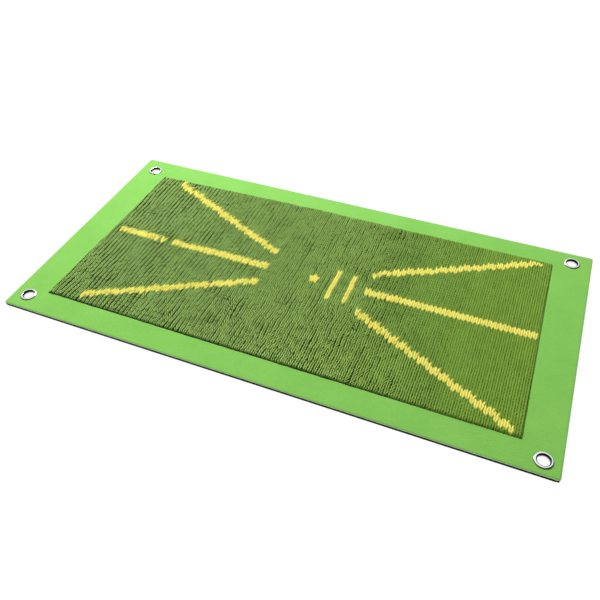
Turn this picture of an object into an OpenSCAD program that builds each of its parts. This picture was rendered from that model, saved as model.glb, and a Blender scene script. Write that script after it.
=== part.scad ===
// Golf hitting mat: a knitted strike panel set in a felt border on a rubber base, with an eyelet in each corner.
// Millimetres. +Z is up, +X is right and +Y is away from the player's side. The origin is the middle of the underside.

/* [Mat] */
// Length of the mat along X
mat_l = 620; // [560:1:700]
// Depth of the mat along Y
mat_w = 320; // [300:1:380]
// Radius of the mat's four outer corners
corner_r = 2; // [1:0.5:8]
// Thickness of the rubber base
base_t = 3; // [2:0.1:6]
// Thickness of the adhesive film between the base and the layers above it
film_t = 0.2; // [0.1:0.05:0.4]
// Thickness of the felt border sheet
border_t = 1.3; // [1:0.1:3]

/* [Window] */
// Length of the window in the border, along its front edge
window_front_l = 542; // [480:1:543]
// Length of the window along its back edge
window_back_l = 532.5; // [480:0.5:543]
// Width of the border in front of the window
border_front = 31.2; // [31:0.5:50]
// Width of the border behind the window, at its left end
border_back_left = 35; // [28:0.1:50]
// Width of the border behind the window, where its back edge bows out most
border_back_middle = 29; // [28:0.1:50]
// Width of the border behind the window, at its right end
border_back_right = 29.6; // [28:0.1:50]
// Place of that bow, to the left of the mat's middle
bow_x = 40; // [0:5:120]

/* [Knitted panel] */
// Height of the knit above the adhesive film
knit_t = 3.8; // [3:0.1:6]
// Thickness of the knit's margin, which the border presses flat
margin_t = 0.5; // [0.3:0.1:0.8]
// Width of that margin all round, under the border
margin_w = 8; // [4:1:9]
// How far the knit's proud top steps in from the window's edge
knit_inset = 1.5; // [0.5:0.5:4]
// Width of one column of stitches
wale_p = 5.1; // [4.6:0.05:5.1]
// Height of one row of stitches
course_p = 4.3; // [3.8:0.05:4.3]
// Turn of the panel in its window, in degrees
panel_turn = 0.35; // [0:0.05:0.35]
// How far the panel's chart sits to the left of the mat's middle
chart_left = 1; // [0:0.1:2]
// How far the panel's chart sits behind the mat's middle
chart_back = 1.2; // [0:0.1:2]

/* [Alignment marks] */
// Depth of the yellow yarn below the top of the knit
mark_t = 2; // [1:0.1:2.4]
// Number of stitch rows in each aiming line
line_rows = 2; // [2:1:3]
// Number of stitch rows in each ball bar
bar_rows = 11; // [7:2:13]
// Stitch column of the left ball bar
bar_left_wale = 7; // [6:1:8]
// Stitch column of the right ball bar
bar_right_wale = 11; // [10:1:12]
// Radius of the star's points
star_r = 8.2; // [6:0.1:9]
// Radius of the star's notches
star_notch_r = 4.3; // [3:0.1:5]
// Width of the small V mark across its tips
vee_w = 8.4; // [6:0.1:10]
// Height of the small V mark
vee_h = 11; // [8:0.5:12]

/* [Eyelets] */
// Distances from the mat's end and from its long edge to the front left eyelet's axis
eyelet_inset_front_left = [18.5, 20]; // [14:0.5:24]
// The same for the front right eyelet
eyelet_inset_front_right = [17, 15.5]; // [14:0.5:24]
// The same for the back left eyelet
eyelet_inset_back_left = [21.5, 23.5]; // [14:0.5:24]
// The same for the back right eyelet
eyelet_inset_back_right = [22.5, 17.5]; // [14:0.5:24]
// Radius of the eyelet's hole
eyelet_bore_r = 6; // [4:0.5:7]
// Thickness of the eyelet's barrel wall
eyelet_wall = 0.5; // [0.4:0.1:0.8]
// Width of the eyelet's rolled flange, from the hole to its rim
flange_w = 3.3; // [3:0.1:5]
// Height of the rolled flange above the border
flange_h = 1.1; // [0.6:0.1:1.6]
// Thickness of the washer under the base
washer_t = 0.5; // [0.4:0.1:0.8]
// Width of the barrel's curled lip under the washer
lip_w = 2.3; // [1.5:0.1:2.8]
// Height of the curled lip
lip_h = 0.5; // [0.3:0.1:0.8]

/* [Hidden] */

// Heights of the layers, from the underside up
film_z = base_t;
layer_z = base_t + film_t;
border_z = layer_z + border_t;
margin_z = layer_z + margin_t;
knit_z = layer_z + knit_t;
mark_z = knit_z - mark_t;
washer_z = lip_h + washer_t;

// Eyelet radii and places
barrel_r = eyelet_bore_r + eyelet_wall;
flange_r = eyelet_bore_r + flange_w;
lip_r = eyelet_bore_r + lip_w;
washer_r = flange_r - 0.25;
recess_r = flange_r + 0.05;
eyelet_insets = [
    [eyelet_inset_front_left, eyelet_inset_back_left],
    [eyelet_inset_front_right, eyelet_inset_back_right]];

// Each aiming line on the stitch chart: the column and the height in rows of its inner end, then of its outer end
chart_left_back = [-10, 7.7, -45, 27.5];
chart_left_mid_inner = [-10, 1, -35, 1];
chart_left_mid_outer = [-40, 1, -50, 1];
chart_left_front = [-10, -5.6, -45, -26.8];
chart_right_back = [15, 8.4, 50, 29.1];
chart_right_mid = [15, 1, 53, 1];
chart_right_front = [15, -7.1, 51, -28.9];
line_charts = [chart_left_back, chart_left_mid_inner, chart_left_mid_outer, chart_left_front,
    chart_right_back, chart_right_mid, chart_right_front];
star_x = 2.2 * wale_p;
star_y = 0.45 * course_p;
vee_x = -37.9 * wale_p;
vee_stroke = 3;
cut = 1;
$fn = 64;

// ---- outlines ----

// The window's outline, moved inwards by inset; a negative inset moves it outwards
function window_points(inset) = [
    [inset - window_front_l / 2, border_front + inset - mat_w / 2],
    [window_front_l / 2 - inset, border_front + inset - mat_w / 2],
    [window_back_l / 2 - inset, mat_w / 2 - border_back_right - inset],
    [-bow_x, mat_w / 2 - border_back_middle - inset],
    [inset - window_back_l / 2, mat_w / 2 - border_back_left - inset]];

// An eyelet's axis, from the signs of its corner
function eyelet_at(x, y) = let (inset = eyelet_insets[(x + 1) / 2][(y + 1) / 2])
    [x * (mat_l / 2 - inset[0]), y * (mat_w / 2 - inset[1])];

module mat_outline() {
    square([mat_l - 2 * corner_r, mat_w], center = true);
    square([mat_l, mat_w - 2 * corner_r], center = true);
    for (x = [-1, 1], y = [-1, 1])
        translate([x * (mat_l / 2 - corner_r), y * (mat_w / 2 - corner_r)])
            circle(r = corner_r);
}

module mat_layer(z, t) {
    translate([0, 0, z])
        linear_extrude(t)
            mat_outline();
}

module window_block(z, t, inset) {
    translate([0, 0, z])
        linear_extrude(t)
            polygon(window_points(inset));
}

module corner_holes(r, z, t) {
    for (x = [-1, 1], y = [-1, 1])
        translate(concat(eyelet_at(x, y), z))
            cylinder(r = r, h = t);
}

// ---- alignment marks, laid out on the stitch chart ----

// Lowest stitch row of an aiming line in a given column
function line_row(chart, wale) =
    round(chart[1] + (chart[3] - chart[1]) * (wale - chart[0]) / (chart[2] - chart[0]) - line_rows / 2);

function first_wale(chart) = min(chart[0], chart[2]);
function last_wale(chart) = max(chart[0], chart[2]);

// One stepped edge of a line, from left to right, lifted by a number of rows
function line_edge(chart, lift) = let (a = first_wale(chart), b = last_wale(chart)) concat(
    [[(a - 0.5) * wale_p, (line_row(chart, a) + lift) * course_p]],
    [for (w = [a + 1 : b]) if (line_row(chart, w) != line_row(chart, w - 1)) each [
        [(w - 0.5) * wale_p, (line_row(chart, w - 1) + lift) * course_p],
        [(w - 0.5) * wale_p, (line_row(chart, w) + lift) * course_p]]],
    [[(b + 0.5) * wale_p, (line_row(chart, b) + lift) * course_p]]);

function reversed(points) = [for (i = [len(points) - 1 : -1 : 0]) points[i]];

module line_outline(chart) {
    polygon(concat(line_edge(chart, 0), reversed(line_edge(chart, line_rows))));
}

module bar_outline(wale) {
    translate([wale * wale_p, course_p / 2])
        square([wale_p, bar_rows * course_p], center = true);
}

module star_outline() {
    translate([star_x, star_y])
        polygon([for (i = [0 : 9]) let (r = i % 2 == 0 ? star_r : star_notch_r) [
            r * cos(90 + 36 * i), r * sin(90 + 36 * i)]]);
}

module vee_outline() {
    translate([vee_x, course_p - vee_h / 2 - chart_back])
        polygon([
            [-vee_w / 2, vee_h], [-vee_stroke / 2, 0], [vee_stroke / 2, 0],
            [vee_w / 2, vee_h], [vee_w / 2 - vee_stroke, vee_h], [0, vee_stroke],
            [vee_stroke - vee_w / 2, vee_h]]);
}

// An outline on the chart, raised into a block that starts at the marks' underside
module chart_block(t) {
    rotate([0, 0, panel_turn])
        translate([-chart_left, chart_back, mark_z])
            linear_extrude(t)
                children();
}

// A mark's solid: it fills a pocket in the knit and ends where the proud top ends
module mark() {
    color("gold")
        intersection() {
            chart_block(mark_t)
                children();
            window_block(mark_z, mark_t, knit_inset);
        }
}

module line_left_back() { mark() line_outline(chart_left_back); }
module line_left_mid_outer() { mark() line_outline(chart_left_mid_outer); }
module line_left_mid_inner() { mark() line_outline(chart_left_mid_inner); }
module line_left_front() { mark() line_outline(chart_left_front); }
module line_right_back() { mark() line_outline(chart_right_back); }
module line_right_mid() { mark() line_outline(chart_right_mid); }
module line_right_front() { mark() line_outline(chart_right_front); }
module vee_mark() { mark() vee_outline(); }
module star_mark() { mark() star_outline(); }
module bar_left() { mark() bar_outline(bar_left_wale); }
module bar_right() { mark() bar_outline(bar_right_wale); }

// The pockets that the marks fill, cut through the top of the knit
module mark_pockets() {
    chart_block(mark_t + cut) {
        for (chart = line_charts)
            line_outline(chart);
        for (wale = [bar_left_wale, bar_right_wale])
            bar_outline(wale);
        star_outline();
        vee_outline();
    }
}

// ---- layers ----

// Non-slip rubber base, with a recess under each corner for the washer and the curled lip
module base_pad() {
    color("#181a18")
        difference() {
            mat_layer(0, base_t);
            corner_holes(barrel_r, -cut, base_t + 2 * cut);
            corner_holes(recess_r, -cut, washer_z + cut);
        }
}

// Hot-melt film that holds the knit and the border on the base
module bond_film() {
    color("#d8dcc8")
        difference() {
            mat_layer(film_z, film_t);
            corner_holes(barrel_r, film_z - cut, film_t + 2 * cut);
        }
}

// Felt frame round the window, rebated underneath over the knit's flattened margin
module border_frame() {
    color("#86cc5a")
        difference() {
            mat_layer(layer_z, border_t);
            window_block(layer_z - cut, border_t + 2 * cut, 0);
            window_block(layer_z - cut, margin_t + cut, -margin_w);
            corner_holes(barrel_r, layer_z - cut, border_t + 2 * cut);
        }
}

// Knitted panel: a margin under the border, a block that fills the window and a proud top with pockets for the marks
module knit_panel() {
    color("#70904a")
        difference() {
            union() {
                window_block(layer_z, margin_t, -margin_w);
                window_block(layer_z, border_t, 0);
                window_block(layer_z, knit_t, knit_inset);
            }
            mark_pockets();
        }
}

// ---- eyelets ----

// Points on a half ellipse from angle a to angle b, in the profile plane
function half_ellipse(r, z, half_w, h, a, b) = [
    for (i = [0 : 12]) let (t = a + (b - a) * i / 12) [r + half_w * cos(t), z + h * sin(t)]];

// Flange, barrel and curled lip in one turned piece
module eyelet(x, y) {
    color("#c9ccd0")
        translate(eyelet_at(x, y))
            rotate_extrude()
                polygon(concat(
                    half_ellipse((eyelet_bore_r + flange_r) / 2, border_z, flange_w / 2, flange_h, 180, 0),
                    [[barrel_r, border_z], [barrel_r, lip_h]],
                    half_ellipse((eyelet_bore_r + lip_r) / 2, lip_h, lip_w / 2, lip_h, 0, -180)));
}

// Flat ring that the lip is curled over
module washer(x, y) {
    color("#b4b7bb")
        translate(concat(eyelet_at(x, y), lip_h))
            difference() {
                cylinder(r = washer_r, h = washer_t);
                translate([0, 0, -cut])
                    cylinder(r = barrel_r, h = washer_t + 2 * cut);
            }
}

module eyelet_front_left() { eyelet(-1, -1); }
module eyelet_front_right() { eyelet(1, -1); }
module eyelet_back_left() { eyelet(-1, 1); }
module eyelet_back_right() { eyelet(1, 1); }
module washer_front_left() { washer(-1, -1); }
module washer_front_right() { washer(1, -1); }
module washer_back_left() { washer(-1, 1); }
module washer_back_right() { washer(1, 1); }

base_pad();
bond_film();
border_frame();
knit_panel();
line_left_back();
line_left_mid_outer();
line_left_mid_inner();
line_left_front();
line_right_back();
line_right_mid();
line_right_front();
vee_mark();
star_mark();
bar_left();
bar_right();
eyelet_front_left();
eyelet_front_right();
eyelet_back_left();
eyelet_back_right();
washer_front_left();
washer_front_right();
washer_back_left();
washer_back_right();
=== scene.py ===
import math

import bmesh
import bpy
import numpy as np
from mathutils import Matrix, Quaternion, Vector, noise
from mathutils.bvhtree import BVHTree


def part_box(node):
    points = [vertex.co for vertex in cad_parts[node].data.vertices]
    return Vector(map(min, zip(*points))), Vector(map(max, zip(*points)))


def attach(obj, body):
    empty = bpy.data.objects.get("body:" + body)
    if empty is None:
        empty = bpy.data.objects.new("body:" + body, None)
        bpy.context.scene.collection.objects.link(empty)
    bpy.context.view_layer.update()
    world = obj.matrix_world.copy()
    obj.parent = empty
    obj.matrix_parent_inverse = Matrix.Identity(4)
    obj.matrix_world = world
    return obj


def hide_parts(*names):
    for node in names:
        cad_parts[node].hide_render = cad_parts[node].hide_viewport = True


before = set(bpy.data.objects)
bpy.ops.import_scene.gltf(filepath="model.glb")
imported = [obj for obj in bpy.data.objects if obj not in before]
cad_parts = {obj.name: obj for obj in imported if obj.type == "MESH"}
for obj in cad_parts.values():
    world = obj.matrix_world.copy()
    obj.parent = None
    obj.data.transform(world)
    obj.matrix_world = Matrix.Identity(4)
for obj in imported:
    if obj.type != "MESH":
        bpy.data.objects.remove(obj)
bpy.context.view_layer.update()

scene = bpy.context.scene
mm = 0.001
noise.seed_set(11)  # without it the noise starts from the clock, and every run knits another panel

matLow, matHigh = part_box("base_pad")
baseTop = matHigh.z
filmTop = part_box("bond_film")[1].z
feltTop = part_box("border_frame")[1].z
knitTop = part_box("knit_panel")[1].z
cornerNames = ("front_left", "front_right", "back_left", "back_right")
markNames = (
    "line_left_back", "line_left_mid_outer", "line_left_mid_inner", "line_left_front",
    "line_right_back", "line_right_mid", "line_right_front", "bar_left", "bar_right",
)


def middleOf(node):
    low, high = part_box(node)
    return (low + high) / 2


eyeletAt = {corner: middleOf("eyelet_" + corner).xy for corner in cornerNames}


def windowCorners():  # the corners of the hole in the border, counter-clockwise from the front left
    reachX = min(abs(p.x) for p in eyeletAt.values()) - 10 * mm
    reachY = min(abs(p.y) for p in eyeletAt.values()) - 3 * mm
    found = {}
    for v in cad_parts["border_frame"].data.vertices:
        if v.co.z > feltTop - 0.1 * mm and abs(v.co.x) < reachX and abs(v.co.y) < reachY:
            found[(round(v.co.x, 5), round(v.co.y, 5))] = v.co.xy.copy()
    return sorted(found.values(), key=lambda p: math.atan2(p.y, p.x))


def movedOut(corners, left, right, front, back):  # a window outline with each of its sides moved outwards
    out = []
    for p in corners:
        atEnd = abs(p.x) > 200 * mm
        side = (right if p.x > 0 else -left) if atEnd else 0.0
        out.append(Vector((p.x + side, p.y + (back if p.y > 0 else -front))))
    return out


window = windowCorners()
knitEdge = movedOut(window, 0.8 * mm, 0.2 * mm, 0.1 * mm, 2.0 * mm)  # the knit laps over the felt at the back


def insideDistance(x, y, corners):  # how far each point lies inside an outline; negative is outside it
    nearest = np.full(np.shape(x), 1.0)
    for a, b in zip(corners, corners[1:] + corners[:1]):
        along = (b - a).normalized()
        nearest = np.minimum(nearest, (y - a.y) * along.x - (x - a.x) * along.y)
    return nearest


def smooth(values, low, high):
    t = np.clip((values - low) / (high - low), 0, 1)
    return t * t * (3 - 2 * t)


def addNode(tree, kind, inputs=None, **settings):  # each input is a plain value or another node's socket
    node = tree.nodes.new(kind)
    for key, value in settings.items():
        setattr(node, key, value)
    for key, value in (inputs or {}).items():
        if isinstance(value, bpy.types.NodeSocket):
            tree.links.new(value, node.inputs[key])
        else:
            node.inputs[key].default_value = value
    return node


def calc(tree, operation, *values):  # one Math node, its inputs numbers or sockets
    return addNode(tree, "ShaderNodeMath", dict(enumerate(values)), operation=operation).outputs[0]


def times(tree, a, b):
    return calc(tree, "MULTIPLY", a, b)


def minus(tree, a, b):
    return calc(tree, "SUBTRACT", a, b)


def addUp(tree, *terms):  # the sum of some sockets, each times its own share
    total = None
    for socket, share in terms:
        part = times(tree, socket, share)
        total = part if total is None else calc(tree, "ADD", total, part)
    return total


def remap(tree, value, low, high, start=0.0, end=1.0):
    return addNode(tree, "ShaderNodeMapRange", {
        "Value": value, "From Min": low, "From Max": high, "To Min": start, "To Max": end}).outputs["Result"]


def axisOf(tree, vector, axis):
    return addNode(tree, "ShaderNodeSeparateXYZ", {"Vector": vector}).outputs[axis]


def joinAxes(tree, x=0.0, y=0.0, z=0.0):
    return addNode(tree, "ShaderNodeCombineXYZ", {"X": x, "Y": y, "Z": z}).outputs[0]


def addSockets(tree, ins, outs):
    for name, kind, value in ins:
        socket = tree.interface.new_socket(name=name, in_out="INPUT", socket_type="NodeSocket" + kind)
        if value is not None:
            socket.default_value = value
    for name, kind in outs:
        tree.interface.new_socket(name=name, in_out="OUTPUT", socket_type="NodeSocket" + kind)
    return tree.nodes.new("NodeGroupInput").outputs, tree.nodes.new("NodeGroupOutput").inputs


def buildFibreGroup():  # soft overlapping fibres: a coarse and a fine noise
    tree = bpy.data.node_groups.new("fibreGrain", "ShaderNodeTree")
    ins, outs = addSockets(
        tree,
        [("Vector", "Vector", None), ("Scale", "Float", 1000.0), ("Ragged", "Float", 0.4)],
        [("Height", "Float"), ("Tone", "Float")],
    )
    coarse = addNode(tree, "ShaderNodeTexNoise", {
        "Vector": ins["Vector"], "Scale": ins["Scale"], "Detail": 3.0, "Distortion": ins["Ragged"]})
    fineScale = times(tree, ins["Scale"], 3.3)
    fine = addNode(tree, "ShaderNodeTexNoise", {"Vector": ins["Vector"], "Scale": fineScale, "Detail": 2.0})
    total = addUp(tree, (fine.outputs["Fac"], 0.45), (coarse.outputs["Fac"], 0.55))
    tree.links.new(total, outs["Height"])
    tree.links.new(remap(tree, total, 0.36, 0.64), outs["Tone"])
    return tree


def buildDriftGroup():  # slow changes of tone over a surface, as dye and wear leave them
    tree = bpy.data.node_groups.new("toneDrift", "ShaderNodeTree")
    ins, outs = addSockets(
        tree,
        [("Vector", "Vector", None), ("Patch Size", "Float", 40 * mm), ("Contrast", "Float", 1.0)],
        [("Drift", "Float")],
    )
    scale = calc(tree, "DIVIDE", 1.0, ins["Patch Size"])
    cloud = addNode(tree, "ShaderNodeTexNoise", {"Vector": ins["Vector"], "Scale": scale, "Detail": 3.0})
    strength = times(tree, minus(tree, cloud.outputs["Fac"], 0.5), ins["Contrast"])
    tree.links.new(remap(tree, strength, -0.25, 0.25), outs["Drift"])
    return tree


def buildScuffGroup():  # fine scratches in two directions, for metal and rubber
    tree = bpy.data.node_groups.new("fineScuffs", "ShaderNodeTree")
    ins, outs = addSockets(
        tree,
        [("Vector", "Vector", None), ("Scale", "Float", 400.0)],
        [("Scuffs", "Float")],
    )
    scuffs = None
    for turn in (0.5, -0.9):
        turned = addNode(tree, "ShaderNodeMapping", {
            "Vector": ins["Vector"], "Rotation": (0.3, 0.2, turn), "Scale": (1.0, 14.0, 4.0)})
        streak = addNode(tree, "ShaderNodeTexNoise", {
            "Vector": turned.outputs["Vector"], "Scale": ins["Scale"], "Detail": 2.0}).outputs["Fac"]
        scuffs = streak if scuffs is None else times(tree, scuffs, streak)
    tree.links.new(calc(tree, "POWER", scuffs, 1.4), outs["Scuffs"])
    return tree


fibreGroup = buildFibreGroup()
driftGroup = buildDriftGroup()
scuffGroup = buildScuffGroup()


def addGroup(tree, group, inputs):
    return addNode(tree, "ShaderNodeGroup", inputs, node_tree=group).outputs


def addFibres(tree, vector, size, ragged):
    return addGroup(tree, fibreGroup, {"Vector": vector, "Scale": 1 / size, "Ragged": ragged})


def addDrift(tree, place, patch, contrast):
    return addGroup(tree, driftGroup, {"Vector": place, "Patch Size": patch, "Contrast": contrast})["Drift"]


def startMaterial(name, roughness=0.8, metallic=0.0, specular=0.5, sheen=0.0, sheenTint=(1, 1, 1, 1)):
    material = bpy.data.materials.new(name)
    material.use_nodes = True
    tree = material.node_tree
    shader = tree.nodes["Principled BSDF"]
    values = {"Roughness": roughness, "Metallic": metallic, "Specular IOR Level": specular,
              "Sheen Weight": sheen, "Sheen Tint": sheenTint, "Sheen Roughness": 0.6}
    for key, value in values.items():
        shader.inputs[key].default_value = value
    place = tree.nodes.new("ShaderNodeTexCoord").outputs["Object"]
    return material, tree, shader, place


def blendColours(tree, factor, dark, light, kind="MIX"):
    inputs = {0: factor}
    for index, colour in ((6, dark), (7, light)):
        inputs[index] = colour if isinstance(colour, bpy.types.NodeSocket) else (*colour, 1.0)
    return addNode(tree, "ShaderNodeMix", inputs, data_type="RGBA", blend_type=kind).outputs[2]


def finishMaterial(tree, shader, colour, height, depth, roughness=None):
    tree.links.new(colour, shader.inputs["Base Color"])
    if roughness is not None:
        tree.links.new(roughness, shader.inputs["Roughness"])
    bump = addNode(tree, "ShaderNodeBump", {"Height": height, "Distance": depth, "Strength": 1.0})
    tree.links.new(bump.outputs["Normal"], shader.inputs["Normal"])


def readMask(tree, name):
    return addNode(tree, "ShaderNodeAttribute", attribute_name=name).outputs["Fac"]


def upwardness(tree):  # 1 on faces that look straight up
    return axisOf(tree, addNode(tree, "ShaderNodeNewGeometry").outputs["Normal"], "Z")


stitch = {
    "walePitch": 5.1 * mm,
    "coursePitch": 4.3 * mm,
    "turn": math.radians(0.35),
    "chartLeft": 1.0 * mm,  # the stitch chart's middle, from the mat's
    "chartBack": 1.2 * mm,
    "firstWale": -54,
    "lastWale": 55,
    "firstCourse": -32,
    "lastCourse": 33,
    "length": 7.8 * mm,
    "footSpread": 0.58 * mm,
    "headSpread": 2.08 * mm,
    "flare": 0.85,
    "crown": 1.60 * mm,
    "crest": 0.36,
    "yarnRadius": 0.88 * mm,
    "taper": 0.22,
    "sides": 7,
    "rings": 8,
    "turnJitter": math.radians(6),
    "sizeJitter": 0.08,
    "seed": 11,
}
yarnLook = {
    "twist": 7.0,  # radians of twist along one stitch
    "fibres": 2.6,
    "fuzzSize": 0.55 * mm,
    "plyDepth": 0.16 * mm,
    "shares": {"ply": 0.30, "fibres": 0.38, "tint": 0.36, "drift": 0.16, "fuzz": 0.14},
    "toneRange": 0.66,
    "depths": (2.4 * mm, 0.6 * mm),  # painted shade below the knit's top: where the yarn is painted dark, and where it is fully lit
    "flank": (0.40, 0.95, 0.30),  # how upright a side is where it is shaded and where it is lit, and its tone
    "ends": (0.12, 0.42, 0.35),  # painted shade at a leg's ends: how far from the crest they darken, and their tone
    "fluff": 0.55,  # how far fluffed yarn fills its own shaded gaps
    "crisp": 0.52,  # painted highlight: how much paler the tops of unfluffed yarn are painted
    "dye": ((-0.20, (0.82, 0.90, 0.80)), (0.00, (0.98, 1.07, 0.88)), (0.23, (0.73, 0.84, 0.34))),  # x, tone; painted sheen at the left, painted shade at the right
    # each yarn's first colour is the painted shade it darkens to
    "green": {"deep": (0.010, 0.026, 0.003), "dark": (0.115, 0.225, 0.030), "light": (0.420, 0.620, 0.175)},
    "yellow": {"deep": (0.28, 0.19, 0.005), "dark": (0.88, 0.70, 0.025), "light": (1.0, 0.99, 0.260)},
}


def paintLightAcross(tree, place, colour):  # painted light across the panel: its colour drifts from a paler, greyer left end, a painted sheen, to a darker olive right end, a painted shade
    (firstX, _), *_, (lastX, _) = yarnLook["dye"]
    across = remap(tree, axisOf(tree, place, "X"), firstX, lastX)
    ramp = addNode(tree, "ShaderNodeValToRGB", {"Fac": across})
    stops = ramp.color_ramp.elements
    stops.new(0.5)
    for stop, (x, tone) in zip(stops, yarnLook["dye"]):
        stop.position = (x - firstX) / (lastX - firstX)
        stop.color = (*tone, 1.0)
    return blendColours(tree, 1.0, colour, ramp.outputs["Color"], "MULTIPLY")


def makeYarnMaterial(name, colours):
    look, shares = yarnLook, yarnLook["shares"]
    material, tree, shader, place = startMaterial(
        name, roughness=0.85, specular=0.25, sheen=0.25, sheenTint=(*colours["light"], 1.0))
    yarn = addNode(tree, "ShaderNodeAttribute", attribute_name="yarn").outputs["Vector"]
    tint = readMask(tree, "tint")
    soft = readMask(tree, "soft")  # 1 where the yarn is fluffed up; it weakens the painted shade and takes away the painted highlight
    along = axisOf(tree, yarn, "Z")
    angle = times(tree, along, look["twist"])
    twisted = addNode(
        tree, "ShaderNodeVectorRotate", {"Vector": yarn, "Angle": angle}, rotation_type="Z_AXIS")
    split = addNode(tree, "ShaderNodeSeparateXYZ", {"Vector": twisted.outputs["Vector"]}).outputs
    ply = calc(tree, "ABSOLUTE", split["X"])
    strand = calc(tree, "MULTIPLY_ADD", tint, 37.0, along)  # each stitch gets fibres of its own
    fibreSpace = joinAxes(tree, split["X"], split["Y"], strand)
    fibres = addFibres(tree, fibreSpace, 1 / look["fibres"], 0.6)
    fuzz = addFibres(tree, place, look["fuzzSize"], 1.5)
    drift = addDrift(tree, place, 45 * mm, 0.8)
    share = addUp(
        tree, (ply, shares["ply"]), (fibres["Tone"], shares["fibres"]), (tint, shares["tint"]),
        (drift, shares["drift"]), (fuzz["Tone"], shares["fuzz"]))
    # painted highlight: yarn that is not fluffed up is painted paler
    crisp = remap(tree, soft, 0.0, 1.0, look["crisp"], 0.0)
    share = calc(tree, "ADD", times(tree, share, look["toneRange"]), crisp)
    colour = blendColours(tree, share, colours["dark"], colours["light"])
    if colours is look["green"]:
        colour = paintLightAcross(tree, place, colour)
    # painted shade: the yarn darkens towards its shade colour low in the knit, on its sides and at its legs'
    # ends
    darkBelow, litAbove = look["depths"]
    depth = remap(tree, axisOf(tree, place, "Z"), knitTop - darkBelow, knitTop - litAbove)
    low, high, tone = look["flank"]
    flank = remap(tree, upwardness(tree), low, high, tone, 1.0)
    low, high, tone = look["ends"]
    fromCrest = calc(tree, "ABSOLUTE", minus(tree, along, stitch["crest"]))
    ends = remap(tree, fromCrest, low, high, 1.0, tone)
    lit = times(tree, times(tree, depth, flank), ends)
    gaps = minus(tree, 1.0, times(tree, soft, look["fluff"]))
    shade = times(tree, minus(tree, 1.0, lit), gaps)
    colour = blendColours(tree, minus(tree, 1.0, shade), colours["deep"], colour)
    relief = addUp(tree, (ply, 1.0), (fibres["Height"], 1.2), (fuzz["Height"], 0.7))
    finishMaterial(tree, shader, colour, relief, look["plyDepth"])
    return material


feltLook = {
    # edge is a pale colour painted on the cut sides as a painted highlight
    "dark": (0.175, 0.520, 0.068), "light": (0.285, 0.650, 0.122), "edge": (0.70, 0.98, 0.52),
    "napSize": 0.9 * mm, "brushSize": 3.2 * mm, "brushLie": (0, 0, 0.5), "patch": 38 * mm,
    "shares": {"nap": 0.30, "brushed": 0.36, "drift": 0.34}, "depth": 0.22 * mm,
}


def makeFeltMaterial():
    look, shares = feltLook, feltLook["shares"]
    material, tree, shader, place = startMaterial(
        "feltGreen", roughness=0.9, specular=0.2, sheen=0.2, sheenTint=(0.8, 1.0, 0.6, 1.0))
    nap = addFibres(tree, place, look["napSize"], 1.2)
    lain = addNode(tree, "ShaderNodeMapping", {
        "Vector": place, "Rotation": look["brushLie"], "Scale": (1, 3.0, 1)})
    brushed = addFibres(tree, lain.outputs["Vector"], look["brushSize"], 0.8)
    drift = addDrift(tree, place, look["patch"], 0.9)
    share = addUp(
        tree, (nap["Tone"], shares["nap"]), (brushed["Tone"], shares["brushed"]), (drift, shares["drift"]))
    colour = blendColours(tree, share, look["dark"], look["light"])
    # painted highlight: faces that do not look up, the felt's cut sides, are painted with the pale edge
    # colour
    sideHighlight = remap(tree, upwardness(tree), 0.25, 0.75, 1.0, 0.0)
    colour = blendColours(tree, sideHighlight, colour, look["edge"])
    relief = addUp(tree, (nap["Height"], 1.0), (brushed["Height"], 1.3))
    finishMaterial(tree, shader, colour, relief, look["depth"])
    return material


def makeGroundMaterial():
    material, tree, shader, place = startMaterial("knitGroundCloth", roughness=0.95, specular=0.1)
    threads = addFibres(tree, place, 0.7 * mm, 0.5)
    colour = blendColours(tree, threads["Tone"], (0.020, 0.045, 0.008), (0.055, 0.110, 0.020))
    finishMaterial(tree, shader, colour, threads["Height"], 0.2 * mm)
    return material


def makeRubberMaterial():
    material, tree, shader, place = startMaterial("rubberBlack", roughness=0.85, specular=0.12)
    grain = addFibres(tree, place, 0.5 * mm, 0.2)
    scuffs = addGroup(tree, scuffGroup, {"Vector": place, "Scale": 60.0})["Scuffs"]
    dust = addUp(tree, (scuffs, 0.5), (addDrift(tree, place, 60 * mm, 1.0), 0.5))
    colour = blendColours(tree, dust, (0.004, 0.005, 0.004), (0.014, 0.015, 0.013))
    rough = remap(tree, grain["Tone"], 0.0, 1.0, 0.68, 0.92)
    finishMaterial(tree, shader, colour, grain["Height"], 0.12 * mm, rough)
    return material


def makeGlueMaterial():
    material, tree, shader, place = startMaterial("hotMeltFilm", roughness=0.4, specular=0.5)
    drift = addDrift(tree, place, 6 * mm, 1.2)
    colour = blendColours(tree, drift, (0.030, 0.036, 0.020), (0.085, 0.095, 0.060))
    finishMaterial(tree, shader, colour, drift, 0.05 * mm)
    return material


plating = {
    "chromePlate": {"dark": (0.80, 0.81, 0.82), "light": (0.93, 0.93, 0.94), "roughness": (0.05, 0.22),
                    # its near-black colour is painted shade and painted dark reflection in the barrel and at
                    # the flange's foot
                    "shadeAndDarkReflection": (0.012, 0.013, 0.012)},
    "dullPlate": {"dark": (0.42, 0.42, 0.43), "light": (0.60, 0.60, 0.61), "roughness": (0.25, 0.50)},
}


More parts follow.
